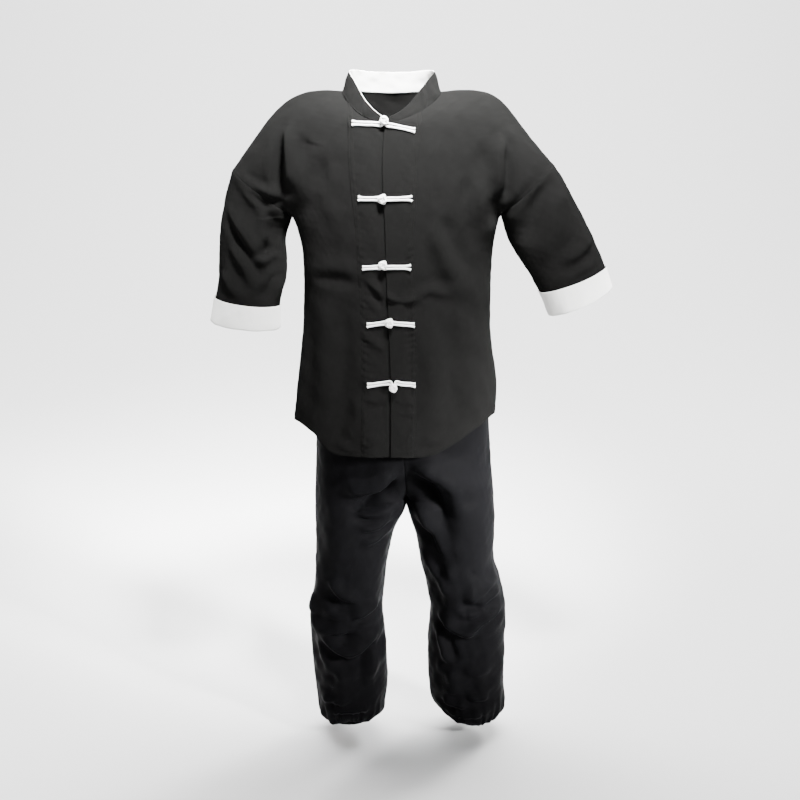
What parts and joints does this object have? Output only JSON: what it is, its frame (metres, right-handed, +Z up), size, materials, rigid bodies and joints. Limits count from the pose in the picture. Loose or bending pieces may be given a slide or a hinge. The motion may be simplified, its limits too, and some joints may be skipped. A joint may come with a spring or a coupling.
{
  "type": "tai chi uniform",
  "caption": "Black tai chi uniform filled out with no wearer: jacket with stand collar, white knotted frogs and turned-back sleeve ends, over trousers gathered at the ankles.",
  "frame": {"origin": "centre of the base of the neck, level with the shoulders, where the wearer holds the jacket up", "axes": "+Z up, the front faces -Y, +X towards the wearer's left"},
  "size_m": [0.8459, 0.2766, 1.4707],
  "materials": {
    "jacket_cloth": "matt black cotton twill",
    "trouser_cloth": "matt blue-black cotton twill",
    "white_cloth": "matt white cotton",
    "white_cord": "white bias-cut cloth cord"
  },
  "bodies": {
    "root": {"jacket_front_right": "jacket_cloth", "jacket_front_left": "jacket_cloth", "jacket_back": "jacket_cloth", "sleeve_right": "jacket_cloth", "sleeve_left": "jacket_cloth", "collar_outer": "jacket_cloth", "front_band_right": "jacket_cloth", "front_band_left": "jacket_cloth", "cuff_right": "white_cloth", "cuff_left": "white_cloth", "collar_lining": "white_cloth", "frog_knot_1": "white_cord", "frog_cord_1": "white_cord", "frog_loop_1": "white_cord", "frog_knot_2": "white_cord", "frog_cord_2": "white_cord", "frog_loop_2": "white_cord", "frog_knot_3": "white_cord", "frog_cord_3": "white_cord", "frog_loop_3": "white_cord", "frog_knot_4": "white_cord", "frog_cord_4": "white_cord", "frog_loop_4": "white_cord", "frog_knot_5": "white_cord", "frog_cord_5": "white_cord", "frog_loop_5": "white_cord", "trouser_front_right": "trouser_cloth", "trouser_front_left": "trouser_cloth", "trouser_back_right": "trouser_cloth", "trouser_back_left": "trouser_cloth", "waistband": "trouser_cloth", "ankle_casing_right": "trouser_cloth", "ankle_casing_left": "trouser_cloth"}
  },
  "joints": []
}
